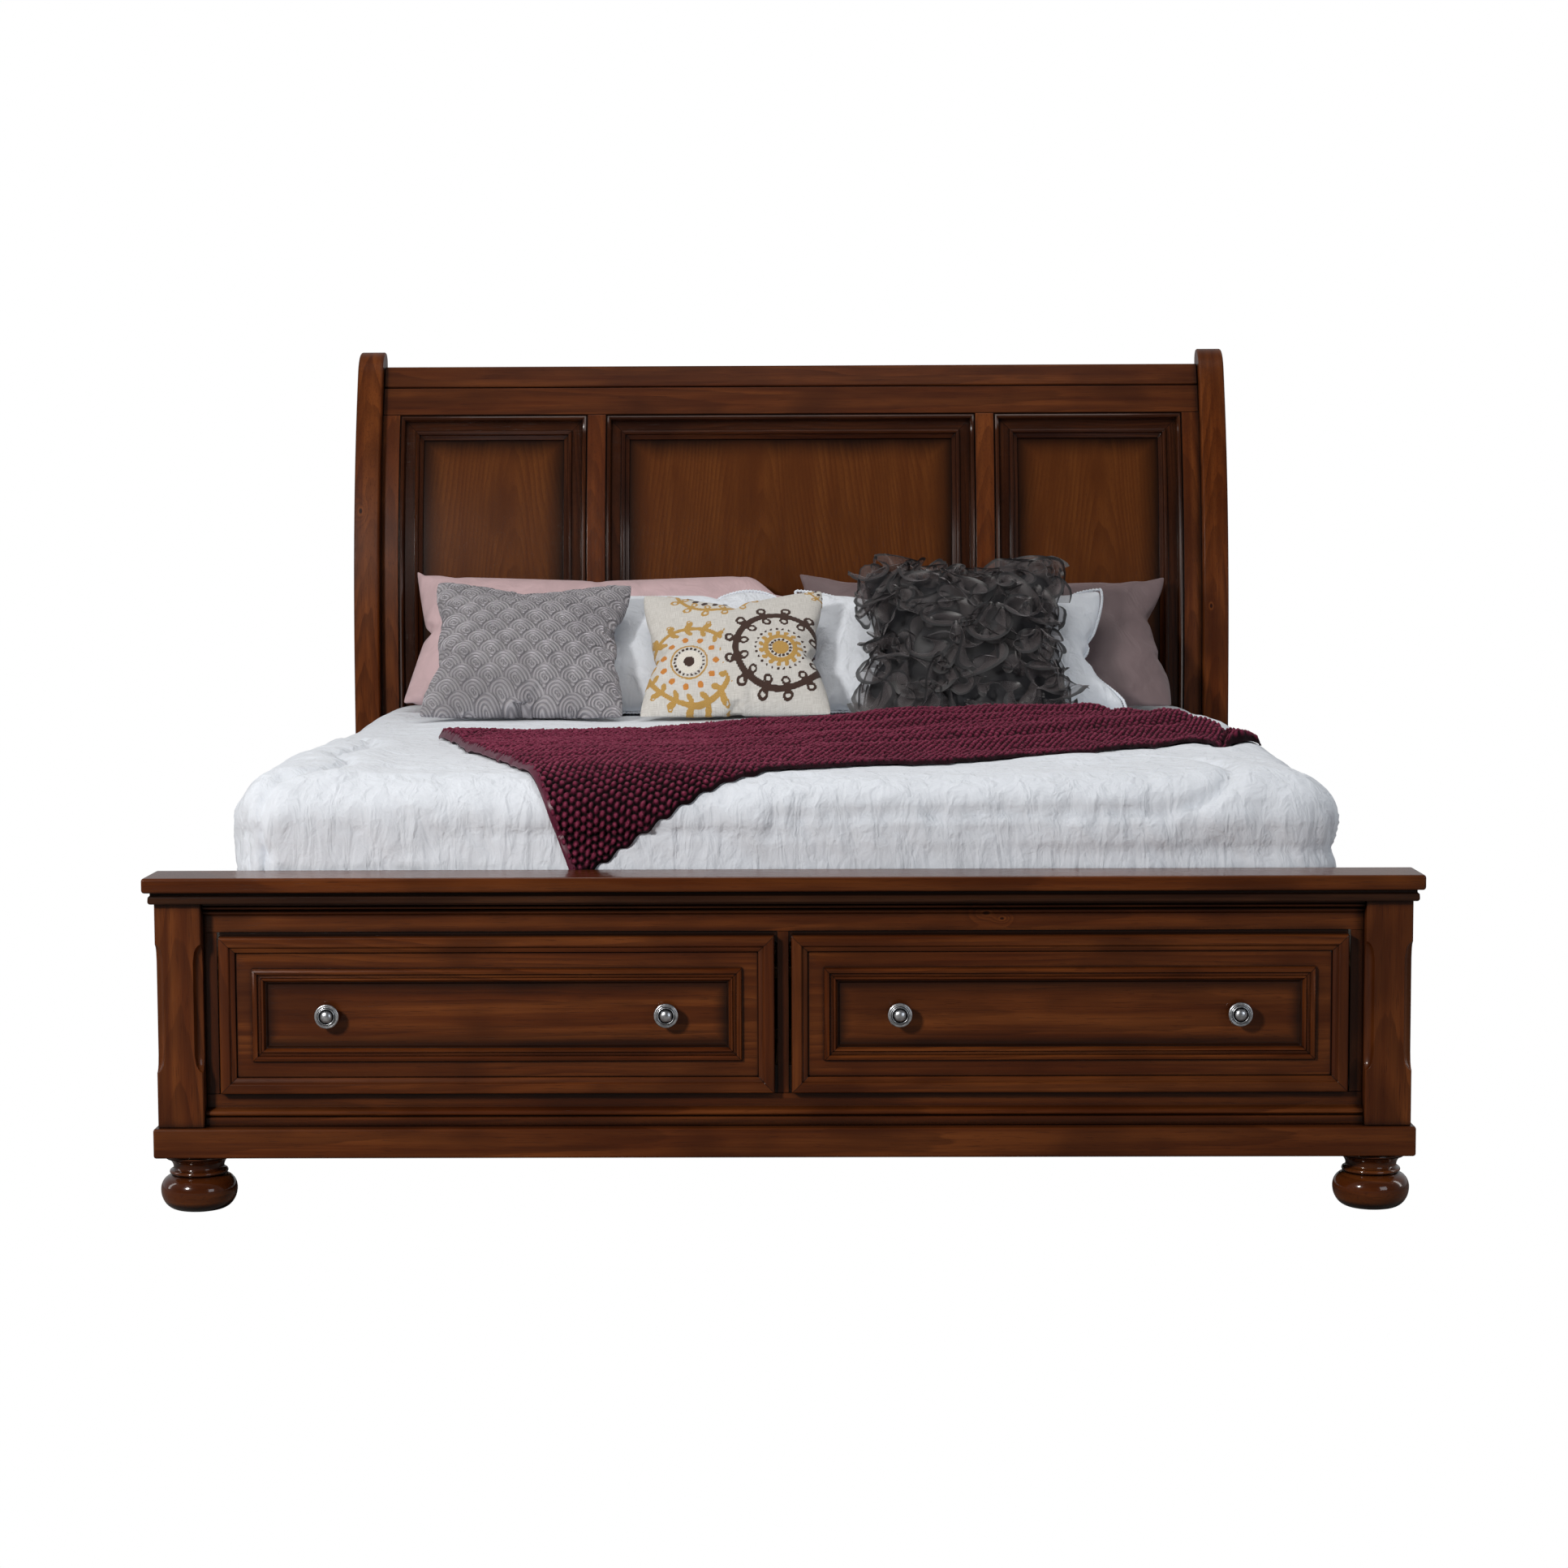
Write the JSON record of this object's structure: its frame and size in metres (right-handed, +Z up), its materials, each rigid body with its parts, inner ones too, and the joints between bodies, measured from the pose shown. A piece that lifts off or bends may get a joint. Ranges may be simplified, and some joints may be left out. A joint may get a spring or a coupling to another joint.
{
  "type": "sleigh bed",
  "caption": "Panelled king-size sleigh bed with two drawers in the footboard, made up with a comforter, throw and pillows.",
  "frame": {"origin": "on the floor, under the middle of the bed's overall length and width", "axes": "+Z up, +Y from the foot of the bed towards the headboard, +X to the right as seen from the foot"},
  "size_m": [2.16, 2.3881, 1.579],
  "materials": {
    "cherry_wood": "satin",
    "cherry_panel": "satin",
    "dark_moulding": "semi-gloss",
    "drawer_birch": "matte",
    "pine_slat": "matte",
    "pewter": "antiqued",
    "ticking": "woven",
    "white_cotton": "woven",
    "mauve_sateen": "sateen",
    "grey_velvet": "velvet",
    "cream_linen": "woven",
    "charcoal_organza": "sheer",
    "burgundy_plush": "plush"
  },
  "bodies": {
    "bed": {"headboard_post_left": "cherry_wood", "headboard_post_right": "cherry_wood", "headboard_crest_rail": "cherry_wood", "headboard_upper_rail": "cherry_wood", "headboard_lower_rail": "cherry_wood", "headboard_stile_left": "cherry_wood", "headboard_stile_right": "cherry_wood", "headboard_muntin_left": "cherry_wood", "headboard_muntin_right": "cherry_wood", "footboard_cap": "cherry_wood", "footboard_post_left": "cherry_wood", "footboard_post_right": "cherry_wood", "footboard_top_rail": "cherry_wood", "footboard_sill_rail": "cherry_wood", "footboard_plinth": "cherry_wood", "bun_foot_left": "cherry_wood", "bun_foot_right": "cherry_wood", "case_side_left": "cherry_wood", "case_side_right": "cherry_wood", "case_partition": "cherry_wood", "side_rail_left": "cherry_wood", "side_rail_right": "cherry_wood", "headboard_panel_left": "cherry_panel", "headboard_panel_centre": "cherry_panel", "headboard_panel_right": "cherry_panel", "panel_moulding_left": "dark_moulding", "panel_moulding_centre": "dark_moulding", "panel_moulding_right": "dark_moulding", "cap_moulding": "dark_moulding", "case_back": "drawer_birch", "drawer_runner_left_inner": "drawer_birch", "drawer_runner_left_outer": "drawer_birch", "drawer_runner_right_inner": "drawer_birch", "drawer_runner_right_outer": "drawer_birch", "slat_roll": "pine_slat", "slat_ledger_left": "pine_slat", "slat_ledger_right": "pine_slat", "centre_beam": "pine_slat", "centre_leg_front": "pine_slat", "centre_leg_rear": "pine_slat", "mattress": "ticking", "comforter": "white_cotton", "pillow_white_left": "white_cotton", "pillow_white_right": "white_cotton", "sham_left": "mauve_sateen", "sham_right": "mauve_sateen", "cushion_quilted": "grey_velvet", "cushion_embroidered": "cream_linen", "cushion_ruffled": "charcoal_organza", "throw": "burgundy_plush"},
    "drawer_left": {"drawer_front_left": "cherry_wood", "drawer_bead_left": "dark_moulding", "drawer_box_left": "drawer_birch", "drawer_knob_left_a": "pewter", "drawer_knob_left_b": "pewter"},
    "drawer_right": {"drawer_front_right": "cherry_wood", "drawer_bead_right": "dark_moulding", "drawer_box_right": "drawer_birch", "drawer_knob_right_a": "pewter", "drawer_knob_right_b": "pewter"}
  },
  "joints": [
    {"name": "drawer_left_slide", "type": "slide", "parent": "bed", "child": "drawer_left", "axis": [0, -1, 0], "range_m": [0, 0.36]},
    {"name": "drawer_right_slide", "type": "slide", "parent": "bed", "child": "drawer_right", "axis": [0, -1, 0], "range_m": [0, 0.36]}
  ]
}
